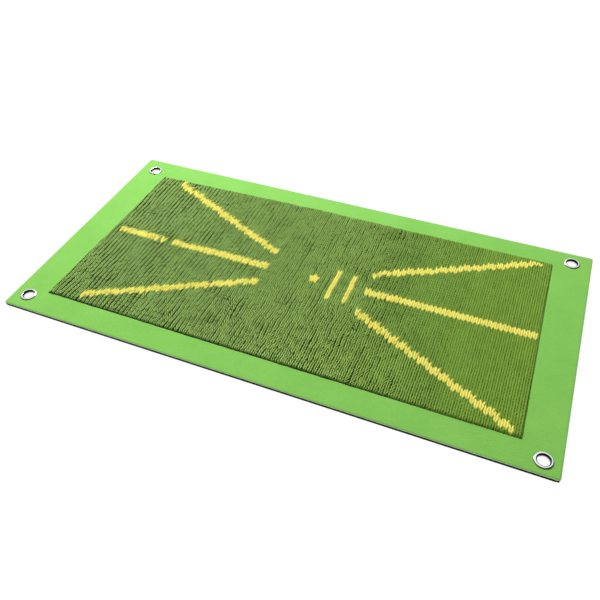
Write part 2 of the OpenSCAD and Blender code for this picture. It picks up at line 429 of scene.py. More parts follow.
def makePlatedMaterial(name):
    look = plating[name]
    material, tree, shader, place = startMaterial(name, roughness=0.15, metallic=1.0)
    scuffs = addGroup(tree, scuffGroup, {"Vector": place, "Scale": 260.0})["Scuffs"]
    drift = addDrift(tree, place, 5 * mm, 0.8)
    colour = blendColours(tree, drift, look["dark"], look["light"])
    if "shadeAndDarkReflection" in look:  # painted shade and painted dark reflection: the barrel and the foot of the flange are painted near black
        uneven = times(tree, minus(tree, drift, 0.5), 0.2)
        clear = remap(tree, calc(tree, "ADD", readMask(tree, "unshaded"), uneven), 0.3, 0.7)
        colour = blendColours(tree, clear, look["shadeAndDarkReflection"], colour)
    rough = remap(tree, scuffs, 0.05, 0.35, *look["roughness"])
    finishMaterial(tree, shader, colour, scuffs, 0.015 * mm, rough)
    return material


yarnGreen = makeYarnMaterial("yarnGreen", yarnLook["green"])
yarnYellow = makeYarnMaterial("yarnYellow", yarnLook["yellow"])
feltGreen = makeFeltMaterial()
groundCloth = makeGroundMaterial()
rubberBlack = makeRubberMaterial()
hotMelt = makeGlueMaterial()
chromePlate = makePlatedMaterial("chromePlate")
dullPlate = makePlatedMaterial("dullPlate")
print("materials made")


def linkPiece(obj, slot, *nodes):
    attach(obj, "root")
    if nodes:
        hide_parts(*nodes)
    return obj


def meshObject(name, mesh, material=None):
    obj = bpy.data.objects.new(name, mesh)
    scene.collection.objects.link(obj)
    if material is not None:
        mesh.materials.append(material)
    return obj


def meshFrom(bm, name):
    mesh = bpy.data.meshes.new(name)
    bm.to_mesh(mesh)
    bm.free()
    return mesh


def settle(obj):  # turns the modifiers' result into the plain mesh and takes them off
    bpy.context.view_layer.update()
    evaluated = obj.evaluated_get(bpy.context.evaluated_depsgraph_get())
    mesh = bpy.data.meshes.new_from_object(evaluated)
    mesh.name = obj.name
    obj.modifiers.clear()
    old = obj.data
    obj.data = mesh
    bpy.data.meshes.remove(old)
    return obj


def roundShade(mesh, angle):
    mesh.shade_smooth()
    mesh.set_sharp_from_angle(angle=math.radians(angle))


def readPoints(mesh):
    co = np.empty(len(mesh.vertices) * 3, np.float32)
    mesh.vertices.foreach_get("co", co)
    return co.reshape(-1, 3)


def writePoints(mesh, co):
    mesh.vertices.foreach_set("co", np.ascontiguousarray(co, np.float32).ravel())
    mesh.update()


def storeFloats(mesh, name, values):
    mesh.attributes.new(name, "FLOAT", "POINT").data.foreach_set("value", values)


def addResampled(tree, curve, count):  # the curve with evenly spaced points, and how far along it each one is
    rings = addNode(tree, "GeometryNodeResampleCurve", {"Curve": curve, "Count": count}, mode="COUNT")
    return rings.outputs[0], tree.nodes.new("GeometryNodeSplineParameter").outputs["Factor"]


def addCapture(tree, geometry, kind, name, value):  # keeps a value with the points it was read from
    node = addNode(tree, "GeometryNodeCaptureAttribute", domain="POINT")
    node.capture_items.new(kind, name)
    tree.links.new(geometry, node.inputs["Geometry"])
    tree.links.new(value, node.inputs[name])
    return node.outputs["Geometry"], node.outputs[name]


def storeInTree(tree, geometry, name, value, kind):
    return addNode(tree, "GeometryNodeStoreNamedAttribute", {
        "Geometry": geometry, "Name": name, "Value": value}, data_type=kind, domain="POINT").outputs[0]


def addYarnTube(tree, curve, factor, sides, radius, scale):  # a round yarn that knows its own cross-section
    path, along = addCapture(tree, curve, "FLOAT", "Along", factor)
    ring = addNode(
        tree, "GeometryNodeCurvePrimitiveCircle", {"Resolution": sides, "Radius": radius}, mode="RADIUS")
    unit = addNode(tree, "ShaderNodeVectorMath", {
        0: tree.nodes.new("GeometryNodeInputPosition").outputs[0]}, operation="NORMALIZE")
    profile, around = addCapture(tree, ring.outputs[0], "VECTOR", "Around", unit.outputs[0])
    tube = addNode(tree, "GeometryNodeCurveToMesh", {
        "Curve": path, "Profile Curve": profile, "Scale": scale, "Fill Caps": True})
    section = addNode(tree, "ShaderNodeSeparateXYZ", {"Vector": around}).outputs
    yarn = joinAxes(tree, section["X"], section["Y"], along)
    return storeInTree(tree, tube.outputs[0], "yarn", yarn, "FLOAT_VECTOR")


def finishTree(tree, geometry, material, out):
    real = addNode(tree, "GeometryNodeRealizeInstances", {"Geometry": geometry})
    rounded = addNode(tree, "GeometryNodeSetShadeSmooth", {"Geometry": real.outputs[0]})
    dyed = addNode(tree, "GeometryNodeSetMaterial", {"Geometry": rounded.outputs[0], "Material": material})
    tree.links.new(dyed.outputs[0], out)


legSizes = [
    ("Length", "Float"), ("Foot Spread", "Float"), ("Head Spread", "Float"), ("Flare", "Float"),
    ("Crown", "Float"), ("Crest", "Float"), ("Yarn Radius", "Float"), ("Taper", "Float"),
    ("Sides", "Int"), ("Rings", "Int"),
]


def buildLegGroup():  # one leg of a V stitch: a tapered yarn that rises at its foot and dives at its head
    tree = bpy.data.node_groups.new("stitchLeg", "GeometryNodeTree")
    sizes = [(name, kind, None) for name, kind in legSizes]
    ins, outs = addSockets(tree, [("Side", "Float", 1.0)] + sizes, [("Leg", "Geometry")])
    line = addNode(tree, "GeometryNodeCurvePrimitiveLine", {"End": (0, 1 * mm, 0)}, mode="POINTS")
    rings, factor = addResampled(tree, line.outputs[0], ins["Rings"])
    bend = calc(tree, "POWER", factor, ins["Flare"])
    reach = minus(tree, ins["Head Spread"], ins["Foot Spread"])
    x = times(tree, calc(tree, "MULTIPLY_ADD", bend, reach, ins["Foot Spread"]), ins["Side"])
    y = times(tree, minus(tree, factor, 0.5), ins["Length"])
    fromCrest = minus(tree, factor, ins["Crest"])
    fromCrest = calc(tree, "DIVIDE", fromCrest, minus(tree, 1.0, ins["Crest"]))
    drop = times(tree, ins["Crown"], -1.0)
    z = times(tree, times(tree, fromCrest, fromCrest), drop)
    middle = joinAxes(tree, x, y, z)
    shaped = addNode(tree, "GeometryNodeSetPosition", {"Geometry": rings, "Position": middle})
    off = minus(tree, times(tree, factor, 2.0), 0.9)
    thin = times(tree, times(tree, off, off), ins["Taper"])
    scale = minus(tree, 1.0, thin)
    leg = addYarnTube(tree, shaped.outputs[0], factor, ins["Sides"], ins["Yarn Radius"], scale)
    tree.links.new(leg, outs["Leg"])
    return tree


def readAttribute(tree, name):
    named = addNode(tree, "GeometryNodeInputNamedAttribute", {"Name": name}, data_type="FLOAT")
    return named.outputs["Attribute"]


def addRandom(tree, low, high, seed):
    inputs = {2: low, 3: high, "Seed": seed}
    return addNode(tree, "FunctionNodeRandomValue", inputs, data_type="FLOAT").outputs[1]


def buildStitchTree(legGroup):  # a V of two legs on every point, each leg with its own small turn and size
    tree = bpy.data.node_groups.new("knitStitches", "GeometryNodeTree")
    tree.is_modifier = True
    ins, outs = addSockets(
        tree,
        [("Geometry", "Geometry", None)] + [(name, kind, None) for name, kind in legSizes]
        + [("Turn Jitter", "Float", 0.0), ("Size Jitter", "Float", 0.0), ("Seed", "Int", 0),
           ("Yarn", "Material", None)],
        [("Geometry", "Geometry")],
    )
    joined = tree.nodes.new("GeometryNodeJoinGeometry")
    for side in (-1.0, 1.0):
        sizes = {name: ins[name] for name, _ in legSizes}
        leg = addNode(tree, "GeometryNodeGroup", {"Side": side, **sizes}, node_tree=legGroup)
        seed = calc(tree, "MULTIPLY_ADD", ins["Seed"], 2.0, side)
        turnBy = addRandom(tree, times(tree, ins["Turn Jitter"], -1.0), ins["Turn Jitter"], seed)
        turn = calc(tree, "ADD", readAttribute(tree, "turn"), turnBy)
        smallest = minus(tree, 1.0, ins["Size Jitter"])
        largest = calc(tree, "ADD", 1.0, ins["Size Jitter"])
        sizeBy = addRandom(tree, smallest, largest, calc(tree, "ADD", seed, 71.0))
        size = times(tree, readAttribute(tree, "size"), sizeBy)
        spin = joinAxes(tree, readAttribute(tree, "pitch"), 0.0, turn)
        rotation = addNode(tree, "FunctionNodeEulerToRotation", {"Euler": spin})
        placed = addNode(tree, "GeometryNodeInstanceOnPoints", {
            "Points": ins["Geometry"], "Instance": leg.outputs["Leg"],
            "Rotation": rotation.outputs[0], "Scale": size})
        tree.links.new(placed.outputs[0], joined.inputs[0])
    finishTree(tree, joined.outputs[0], ins["Yarn"], outs["Geometry"])
    return tree


stitchTree = buildStitchTree(buildLegGroup())


def growFrom(obj, tree, values):  # runs a geometry tree on an object and keeps the result as its mesh
    modifier = obj.modifiers.new("growth", "NODES")
    modifier.node_group = tree
    sockets = {item.name: item.identifier for item in tree.interface.items_tree if item.in_out == "INPUT"}
    for name, value in values.items():
        modifier[sockets[name]] = value
    settle(obj)


def patchNoise(x, y, size, seed):
    return noise.noise_vector(Vector((x / size, y / size, seed)))


def chartPoints():  # the middle of every stitch on the chart, still straight: wale, x, y
    cosTurn, sinTurn = math.cos(stitch["turn"]), math.sin(stitch["turn"])
    for wale in range(stitch["firstWale"], stitch["lastWale"] + 1):
        for course in range(stitch["firstCourse"], stitch["lastCourse"] + 1):
            x = wale * stitch["walePitch"] - stitch["chartLeft"]
            y = (course + 0.5) * stitch["coursePitch"] + stitch["chartBack"]
            yield wale, x * cosTurn - y * sinTurn, x * sinTurn + y * cosTurn


fluff = {  # where the yarn is crisp (0) and where it is fluffed up (1 and more); in the yarn material this also weakens the painted shade and the painted highlight
    "left": (-230 * mm, -120 * mm), "leftBack": (-100 * mm, 60 * mm), "leftShares": (0.05, 0.40),
    "right": (40 * mm, 200 * mm), "rightFront": (-120 * mm, 0.0), "rightEnd": (140 * mm, 230 * mm),
    "frontShare": 0.35, "most": 1.6,
}


def fluffAt(x, y):
    base, gain = fluff["leftShares"]
    soft = float(smooth(x, *fluff["left"]) * (base + gain * smooth(y, *fluff["leftBack"])))
    front = fluff["frontShare"] + (1 - fluff["frontShare"]) * float(smooth(y, *fluff["rightFront"]))
    front += (1 - front) * float(smooth(x, *fluff["rightEnd"]))
    return min(fluff["most"], soft + fluff["most"] * front * float(smooth(x, *fluff["right"])))


stray = {  # how the stitches leave the chart; lengths across and along are in mm, turns in radians
    "slowPatch": 46 * mm, "bendPatch": 27 * mm, "quickPatch": 12 * mm,
    "calm": (60 * mm, 200 * mm), "calmSway": 60 * mm, "calmShare": 0.72,  # the right end lies flatter
    "ruffleLong": 34 * mm, "ruffleWide": 26 * mm, "ruffleFrom": 0.12, "ruffleGain": 3.0, "rufflePitch": 0.30,
    "across": {
        "slow": 0.55, "bend": 0.3, "bendCrisp": 1.3, "quick": 0.42, "crisp": 0.5, "ruffle": 0.6,
        "loose": 0.20},
    "along": {"slow": 0.60, "quick": 0.40, "ruffle": 0.9, "loose": 0.35},
    "turn": {"slow": 0.05, "quick": 0.10, "crisp": 0.12, "ruffle": 0.55, "loose": 0.07},
    "size": {"base": 0.97, "calm": 0.05, "quick": 0.06, "ruffle": 0.05},
    "tint": {"quick": 0.4, "loose": 0.50},
    "lift": {"slow": 0.35, "quick": 0.45, "loose": 0.42},
}
rowNames = ("x", "y", "turn", "size", "pitch", "tint", "lift", "wale", "soft")
column = {name: i for i, name in enumerate(rowNames)}


def layOutStitches():  # a row of values for every V of the panel, in the order of rowNames
    rows = []
    random = np.random.default_rng(stitch["seed"])
    across, endways, turning, sizing = stray["across"], stray["along"], stray["turn"], stray["size"]

    def loose(amount):
        return random.uniform(-amount, amount)

    for wale, x, y in chartPoints():
        slow = patchNoise(x, y, stray["slowPatch"], 3.1)
        quick = patchNoise(x, y, stray["quickPatch"], 9.7)
        bend = patchNoise(x, y, stray["bendPatch"], 14.2)
        calm = float(smooth(x + slow.x * stray["calmSway"], *stray["calm"]))
        lively = 1 - stray["calmShare"] * calm
        ridge = noise.noise(Vector((x / stray["ruffleLong"], y / stray["ruffleWide"], 21.3)))
        ruffle = max(0.0, ridge - stray["ruffleFrom"]) * stray["ruffleGain"] * lively
        soft = fluffAt(x, y)
        crisp = 1 - min(1.0, soft)
        dx = slow.x * across["slow"] + bend.x * (across["bend"] + across["bendCrisp"] * crisp) * lively
        dx += quick.x * (across["quick"] + across["crisp"] * crisp + across["ruffle"] * ruffle) * lively
        dx += loose(across["loose"]) * lively
        dy = slow.y * endways["slow"] + quick.y * (endways["quick"] + endways["ruffle"] * ruffle) * lively
        dy += loose(endways["loose"]) * lively
        swing = quick.z * (turning["quick"] + turning["crisp"] * crisp + turning["ruffle"] * ruffle)
        turn = slow.z * turning["slow"] + (swing + loose(turning["loose"])) * lively
        size = sizing["base"] + sizing["calm"] * calm + quick.x * sizing["quick"] * lively
        size -= sizing["ruffle"] * ruffle
        pitch = stray["rufflePitch"] * ruffle * quick.x
        tint = 0.5 + quick.y * stray["tint"]["quick"] + loose(stray["tint"]["loose"]) * lively
        lift = slow.z * stray["lift"]["slow"] + quick.x * stray["lift"]["quick"] * lively
        lift += loose(stray["lift"]["loose"]) * lively
        rows.append((x + dx * mm, y + dy * mm, turn + stitch["turn"], size, pitch,
                     min(1.0, max(0.0, tint)), lift * mm, wale, soft))
    return np.array(rows)


def markTrees():  # a ray from above hits a mark's solid where a stitch belongs to that mark
    trees = {}
    for name in markNames:
        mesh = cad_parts[name].data
        mesh.calc_loop_triangles()
        corners = [t.vertices for t in mesh.loop_triangles]
        trees[name] = BVHTree.FromPolygons([v.co for v in mesh.vertices], corners)
    return trees


def sortStitches():  # the name of the mark each stitch of the chart belongs to, or an empty name
    trees = markTrees()
    boxes = {name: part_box(name) for name in trees}
    down = Vector((0, 0, -1))
    owners = []
    for wale, x, y in chartPoints():
        owner = ""
        for name, (low, high) in boxes.items():
            if low.x < x < high.x and low.y < y < high.y:
                if trees[name].ray_cast(Vector((x, y, knitTop + 5 * mm)), down)[0] is not None:
                    owner = name
        owners.append(owner)
    return np.array(owners)


tuck = {"atEdge": 0.28, "start": -0.7 * mm, "full": 1.9 * mm, "shown": -2.6 * mm}


def tuckUnderBorder(mesh):  # at the panel's edge the knit turns down and runs under the felt
    co = readPoints(mesh)
    distance = insideDistance(co[:, 0], co[:, 1], knitEdge)
    keep = tuck["atEdge"] + (1 - tuck["atEdge"]) * smooth(distance, tuck["start"], tuck["full"])
    co[:, 2] = filmTop + (co[:, 2] - filmTop) * keep
    writePoints(mesh, co)


def spaced(key):  # a dictionary's key as the socket name it stands for
    return "".join(" " + c if c.isupper() else c for c in key).title()


def makeStitches(name, rows, values, material, lift=0.0):
    mesh = bpy.data.meshes.new(name)
    height = knitTop - values["yarnRadius"] + lift + rows[:, column["lift"]]
    points = np.column_stack([rows[:, column["x"]], rows[:, column["y"]], height])
    mesh.from_pydata(points.tolist(), [], [])
    for attribute in ("turn", "size", "pitch", "tint", "soft"):
        storeFloats(mesh, attribute, rows[:, column[attribute]].astype(np.float32))
    obj = meshObject(name, mesh)
    sizes = [key for key in values if spaced(key) in dict(legSizes)] + ["turnJitter", "sizeJitter", "seed"]
    growFrom(obj, stitchTree, {"Yarn": material, **{spaced(key): values[key] for key in sizes}})
    for attribute in ("turn", "size", "pitch"):
        found = obj.data.attributes.get(attribute)
        if found is not None:
            obj.data.attributes.remove(found)
    tuckUnderBorder(obj.data)
    return obj


strips = {  # the green knit is made in strips: their legs lie in pairs at the left, and fuller at the right
    "wales": 13,
    "paired": {"footSpread": 0.44 * mm, "headSpread": 1.85 * mm, "yarnRadius": 0.96 * mm},
    "pairedFade": (0.8, 3.4),  # counted in strips
    "filled": {"yarnRadius": 1.20 * mm, "crown": 1.25 * mm},
    "filledRise": (5.2, 7.6),
}
marks = {
    "length": 9.8 * mm, "yarnRadius": 1.36 * mm, "taper": 0.10, "crown": 1.3 * mm, "soft": 0.8,
    "proud": 0.12 * mm,
}
bars = {"yarnRadius": 1.60 * mm, "footSpread": 1.0 * mm, "headSpread": 1.9 * mm, "turnJitter": 0.04}
vee = {
    "footSpread": 0.7 * mm, "headSpread": 3.2 * mm, "flare": 1.1, "crown": 0.9 * mm, "yarnRadius": 1.55 * mm,
    "rings": 12, "sides": 10, "turnJitter": 0.04, "longer": 1.0 * mm, "soft": 1.7, "proud": 0.5 * mm,
}


def buildKnit():
    rows = layOutStitches()
    owners = sortStitches()
    shown = insideDistance(rows[:, column["x"]], rows[:, column["y"]], knitEdge) > tuck["shown"]
    fadeStart, fadeEnd = strips["pairedFade"]
    pieces = []
    waleCount = stitch["lastWale"] - stitch["firstWale"] + 1
    for strip in range(math.ceil(waleCount / strips["wales"])):
        firstWale = stitch["firstWale"] + strip * strips["wales"]
        wales = rows[:, column["wale"]]
        chosen = rows[(wales >= firstWale) & (wales < firstWale + strips["wales"]) & shown & (owners == "")]
        if not len(chosen):
            continue
        values = dict(stitch)
        pairedShare = smooth(-strip, -fadeEnd, -fadeStart)
        for ending, share in (("paired", pairedShare), ("filled", smooth(strip, *strips["filledRise"]))):
            for key, value in strips[ending].items():
                values[key] += (value - stitch[key]) * float(share)
        obj = makeStitches(f"knit_strip_{strip + 1}", chosen, values, yarnGreen)
        pieces.append(linkPiece(obj, "knit_green", "knit_panel"))
    for name in markNames:
        chosen = rows[shown & (owners == name)]
        chosen[:, column["soft"]] = marks["soft"]
        values = {**stitch, **marks, **(bars if name.startswith("bar") else {})}
        obj = makeStitches(name + "_stitches", chosen, values, yarnYellow, lift=marks["proud"])
        pieces.append(linkPiece(obj, "yarn_yellow", name))
    return pieces


knitPieces = buildKnit()
print("stitches made:", sum(len(o.data.polygons) for o in knitPieces), "faces")


def buildVeeMark():  # one large V laid over the gap in the left middle line
    low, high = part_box("vee_mark")
    centre = (low + high) / 2
    large = {**stitch, **vee, "length": (high.y - low.y) + vee["longer"]}
    values = {"turn": stitch["turn"], "size": 1.0, "tint": 0.5, "soft": vee["soft"]}
    row = np.array([[centre.x, centre.y] + [values.get(name, 0.0) for name in rowNames[2:]]])
    obj = makeStitches("vee_mark_stitches", row, large, yarnYellow, lift=vee["proud"])
    return linkPiece(obj, "yarn_yellow", "vee_mark")


knitPieces.append(buildVeeMark())


star = {
    "pointRadius": 8.6 * mm, "notchRadius": 5.2 * mm, "narrow": 0.86, "threadPitch": 0.95 * mm,
    "threadRadius": 0.78 * mm, "crown": 0.8 * mm, "sides": 8, "rings": 9, "under": 0.4 * mm,
    "shortest": 1.2 * mm, "soft": 1.5, "seed": 5,
}


def buildThreadTree():  # a raised thread along every edge of the input mesh
    tree = bpy.data.node_groups.new("satinThreads", "GeometryNodeTree")
    tree.is_modifier = True
    ins, outs = addSockets(
        tree,
        [("Geometry", "Geometry", None), ("Thread Radius", "Float", 0.0), ("Crown", "Float", 0.0),
         ("Sides", "Int", 6), ("Rings", "Int", 6), ("Seed", "Int", 0), ("Yarn", "Material", None)],
        [("Geometry", "Geometry")],
    )
    curves = addNode(tree, "GeometryNodeMeshToCurve", {"Mesh": ins["Geometry"]})
    rings, factor = addResampled(tree, curves.outputs[0], ins["Rings"])
    off = minus(tree, times(tree, factor, 2.0), 1.0)
    square = times(tree, off, off)
    bow = minus(tree, 1.0, times(tree, square, square))
    lift = joinAxes(tree, z=times(tree, bow, ins["Crown"]))
    raised = addNode(tree, "GeometryNodeSetPosition", {"Geometry": rings, "Offset": lift})
    scale = minus(tree, 1.0, times(tree, square, 0.35))
    thread = addYarnTube(tree, raised.outputs[0], factor, ins["Sides"], ins["Thread Radius"], scale)
    tinted = storeInTree(tree, thread, "tint", addRandom(tree, 0.0, 1.0, ins["Seed"]), "FLOAT")
    finishTree(tree, tinted, ins["Yarn"], outs["Geometry"])
    return tree


def starSpans(x, points):  # the stretches of the line at this x that lie inside the star
    hits = []
    for (ax, ay), (bx, by) in zip(points, points[1:] + points[:1]):
        if (ax > x) != (bx > x):
            hits.append(ay + (by - ay) * (x - ax) / (bx - ax))
    hits.sort()
    return list(zip(hits[::2], hits[1::2]))


def buildStar():
    centre = middleOf("star_mark")
    points = []
    for i in range(10):
        radius = star["pointRadius"] if i % 2 == 0 else star["notchRadius"]
        angle = math.radians(90 + 36 * i)
        points.append((radius * math.cos(angle) * star["narrow"], radius * math.sin(angle)))
    threads = []
    reach = int(star["pointRadius"] / star["threadPitch"])
    for i in range(-reach, reach + 1):
        x = i * star["threadPitch"]
        threads += [(x, low, high) for low, high in starSpans(x, points) if high - low > star["shortest"]]
    base = knitTop - star["under"]
    verts = [(centre.x + x, centre.y + y, base) for x, low, high in threads for y in (low, high)]
    mesh = bpy.data.meshes.new("star_threads")
    mesh.from_pydata(verts, [(2 * i, 2 * i + 1) for i in range(len(threads))], [])
    obj = meshObject("star_threads", mesh)
    growFrom(obj, buildThreadTree(), {
        "Thread Radius": star["threadRadius"], "Crown": star["crown"], "Sides": star["sides"],
        "Rings": star["rings"], "Seed": star["seed"], "Yarn": yarnYellow})
    storeFloats(obj.data, "soft", [star["soft"]] * len(obj.data.vertices))
    return linkPiece(obj, "yarn_yellow", "star_mark")


knitPieces.append(buildStar())
print("star made")


ground = {"margin": 8 * mm, "thickness": 0.4 * mm, "spacing": 4 * mm, "under": 3.65 * mm, "middle": 4.9 * mm}


def gridMesh(name, corners, nu, nv, height):  # a grid from the outline's front edge to its bowed back edge
    frontLeft, frontRight, *back = corners
    back = back[::-1]
    bm = bmesh.new()
    rows = []
    for j in range(nv + 1):
        row = []
        for i in range(nu + 1):
            low = frontLeft.lerp(frontRight, i / nu)
            x = back[0].x + (back[-1].x - back[0].x) * i / nu
            high = Vector((x, np.interp(x, [p.x for p in back], [p.y for p in back])))
            p = low.lerp(high, j / nv)
            row.append(bm.verts.new((p.x, p.y, height)))
        rows.append(row)
    for j in range(nv):
        for i in range(nu):
            bm.faces.new((rows[j][i], rows[j][i + 1], rows[j + 1][i + 1], rows[j + 1][i]))
    return meshFrom(bm, name)


def buildGround():
    corners = movedOut(window, *[ground["margin"]] * 4)
    width = corners[1].x - corners[0].x
    depth = max(p.y for p in corners) - corners[0].y
    nu, nv = round(width / ground["spacing"]), round(depth / ground["spacing"])
    mesh = gridMesh("knit_ground", corners, nu, nv, ground["under"])
    co = readPoints(mesh)
    rise = smooth(insideDistance(co[:, 0], co[:, 1], window), -1 * mm, 4 * mm)
    co[:, 2] += (ground["middle"] - ground["under"]) * rise
    writePoints(mesh, co)
    obj = meshObject("knit_ground", mesh, groundCloth)
    obj.modifiers.new("thickness", "SOLIDIFY").thickness = ground["thickness"]
    settle(obj)
    obj.data.shade_smooth()
    linkPiece(obj, "knit_green", "knit_panel")


buildGround()


felt = {
    "cornerRadius": 2 * mm, "spacing": 2.2 * mm, "across": 18, "edgeRound": 0.35 * mm, "edgeStep": 0.3,
    "aboveFilm": 0.02 * mm, "ripple": 0.10 * mm, "rippleLong": 17 * mm, "rippleShort": 6 * mm,
    "innerWander": 0.45 * mm, "wanderLong": 14 * mm, "wanderShort": 3.5 * mm,
    "eyeletDip": 0.45 * mm, "eyeletReach": 16 * mm,
    "puckers": ((7, 0.35, 900), (11, 0.20, 700)),  # how many round an eyelet, their share, and their turn
}


def roundCorner(x, y, halfX, halfY, radius):  # pulls a point of the square outline onto its rounded corner
    cx, cy = math.copysign(halfX - radius, x), math.copysign(halfY - radius, y)
    if abs(x) > halfX - radius and abs(y) > halfY - radius:
        away = Vector((x - cx, y - cy))
        if away.length > radius:
            away = away.normalized() * radius
            return cx + away.x, cy + away.y
    return x, y


def feltPairs():  # matching points round the window and round the mat
    halfX, halfY = matHigh.x, matHigh.y
    outer = [Vector((math.copysign(halfX, p.x) if abs(p.x) > halfX / 2 else p.x, math.copysign(halfY, p.y)))
             for p in window]
    pairs = []
    for i in range(len(window)):
        after = (i + 1) % len(window)
        steps = round((outer[after] - outer[i]).length / felt["spacing"])
        for s in range(steps):
            share = s / steps
            pairs.append((window[i].lerp(window[after], share), outer[i].lerp(outer[after], share)))
    return pairs


def eyeletPull(x, y):  # how the felt sinks and puckers round an eyelet
    total = 0.0
    for centre in eyeletAt.values():
        away = Vector((x, y)) - centre
        if away.length < felt["eyeletReach"]:
            near = 1 - away.length / felt["eyeletReach"]
            angle = math.atan2(away.y, away.x)
            pucker = 1.0
            for (count, share, spin), offset in zip(felt["puckers"], centre):
                pucker += share * math.sin(count * angle + offset * spin)
            total += near * near * pucker
    return total * felt["eyeletDip"]


def feltHeight(x, y):
    wave = noise.noise(Vector((x / felt["rippleLong"], y / felt["rippleLong"], 4.0)))
    wave += 0.5 * noise.noise(Vector((x, y, 0)) / felt["rippleShort"])
    return feltTop + wave * felt["ripple"] - eyeletPull(x, y)


def feltRing(bm, inner, outer):  # one cut through the felt: over the top to the mat's edge, and back below
    reach = (outer - inner).length
    wander = noise.noise(Vector((inner.x, inner.y, 0.3)) / felt["wanderLong"])
    wander += noise.noise(Vector((inner.x, inner.y, 0.9)) / felt["wanderShort"]) * 0.4
    inset = (outer - inner).normalized() * wander * felt["innerWander"]
    edge, step, count = felt["edgeRound"], felt["edgeStep"], felt["across"]
    small = edge / reach
    bottom = filmTop + felt["aboveFilm"]
    stations = [(0.0, None), (0.0, edge), (step * small, step * edge)]  # share of the way out, drop
    stations += [(small + (1 - 2 * small) * i / count, 0.0) for i in range(count + 1)]
    stations += [(1 - step * small, step * edge), (1.0, edge), (1.0, None)]
    stations += [(share, None) for share in (0.75, 0.50, 0.25)]
    ring = []
    for share, drop in stations:
        p = inner.lerp(outer, share) + inset * (1 - share)
        x, y = roundCorner(p.x, p.y, matHigh.x, matHigh.y, felt["cornerRadius"])
        ring.append(bm.verts.new((x, y, bottom if drop is None else feltHeight(x, y) - drop)))
    return ring


def closeRings(bm, rings):  # joins each closed ring of points to the next one, and the last to the first
    for a, b in zip(rings, rings[1:] + rings[:1]):
        for i in range(len(a)):
            j = (i + 1) % len(a)
            bm.faces.new((a[i], a[j], b[j], b[i]))
    bmesh.ops.recalc_face_normals(bm, faces=bm.faces)


def buildFelt():
    bm = bmesh.new()
    closeRings(bm, [feltRing(bm, inner, outer) for inner, outer in feltPairs()])
    obj = meshObject("felt_border", meshFrom(bm, "felt_border"), feltGreen)
    cutRounds(obj, eyelet["barrelRadius"], filmTop - 2 * mm, feltTop + 2 * mm)
    roundShade(obj.data, 50)
    linkPiece(obj, "border_felt", "border_frame")


def cutRounds(obj, radius, low, high):  # drills the four eyelet holes, or their recesses, through a piece
    cutters = []
    for centre in eyeletAt.values():
        bm = bmesh.new()
        bmesh.ops.create_cone(
            bm, cap_ends=True, segments=64, radius1=radius, radius2=radius, depth=high - low)
        bmesh.ops.translate(bm, verts=bm.verts, vec=(centre.x, centre.y, (low + high) / 2))
        cutter = meshObject("cutter", meshFrom(bm, "cutter"))
        cutters.append(cutter)
        modifier = obj.modifiers.new("hole", "BOOLEAN")
        modifier.operation, modifier.solver, modifier.object = "DIFFERENCE", "EXACT", cutter
    settle(obj)
    for cutter in cutters:
        bpy.data.objects.remove(cutter)


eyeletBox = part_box("eyelet_front_left")
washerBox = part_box("washer_front_left")
eyelet = {
    "boreRadius": 6 * mm, "barrelRadius": 6.5 * mm, "flangeRadius": (eyeletBox[1].x - eyeletBox[0].x) / 2,
    "flangeHeight": eyeletBox[1].z - feltTop, "flangeSink": 0.25 * mm, "flangeLip": 0.1 * mm,
    "root": 0.3 * mm,
    "lipRadius": 8.3 * mm, "lipHeight": washerBox[0].z, "washerRadius": (washerBox[1].x - washerBox[0].x) / 2,
    "washerTop": washerBox[1].z, "washerPlay": 0.02 * mm, "washerEdge": 0.12 * mm, "segments": 96,
    "petals": 6, "petalDepth": 0.35 * mm,
    "brightFrom": (0.85 * mm, 1.35 * mm), "brightRim": 0.35 * mm, "brightLip": 0.4 * mm,
}


def turnPiece(name, profile, centre, material, waver=None, unshaded=None):  # turns a closed profile round
    bm = bmesh.new()
    layer = bm.verts.layers.float.new("unshaded")
    rings = []
    for s in range(eyelet["segments"]):
        angle = 2 * math.pi * s / eyelet["segments"]
        ring = []
        for r, z in profile:
            turned = r + (waver(angle, r, z) if waver else 0.0)
            at = (centre.x + turned * math.cos(angle), centre.y + turned * math.sin(angle), z)
            ring.append(bm.verts.new(at))
            ring[-1][layer] = unshaded(r, z) if unshaded else 1.0
        rings.append(ring)
    closeRings(bm, rings)
    mesh = meshFrom(bm, name)
    roundShade(mesh, 38)
    return meshObject(name, mesh, material)


def arc(inside, outside, z, height, start, end, steps):  # half an ellipse between two radii
    points = []
    for i in range(steps + 1):
        t = math.radians(start + (end - start) * i / steps)
        r = (inside + outside) / 2 + (outside - inside) / 2 * math.cos(t)
        points.append((r, z + height * math.sin(t)))
    return points


def splitLip(angle, r, z):  # the curled end of the barrel opens in small petals
    if z < eyelet["lipHeight"] - 0.05 * mm and r > eyelet["boreRadius"] + 0.9 * mm:
        return -eyelet["petalDepth"] * max(0.0, math.cos(eyelet["petals"] * angle)) ** 12
    return 0.0


def unshadedAt(r, z):  # painted shade and painted dark reflection everywhere but the top of the flange and the curled lip, which stay bright
    inside, outside = (eyelet["boreRadius"] + width for width in eyelet["brightFrom"])
    onTop = float(smooth(r, inside, outside)) * float(z > feltTop)
    onTop *= float(smooth(-r, -eyelet["flangeRadius"], -eyelet["flangeRadius"] + eyelet["brightRim"]))
    return max(onTop, float(smooth(-z, -eyelet["lipHeight"] - eyelet["brightLip"], -eyelet["lipHeight"])))


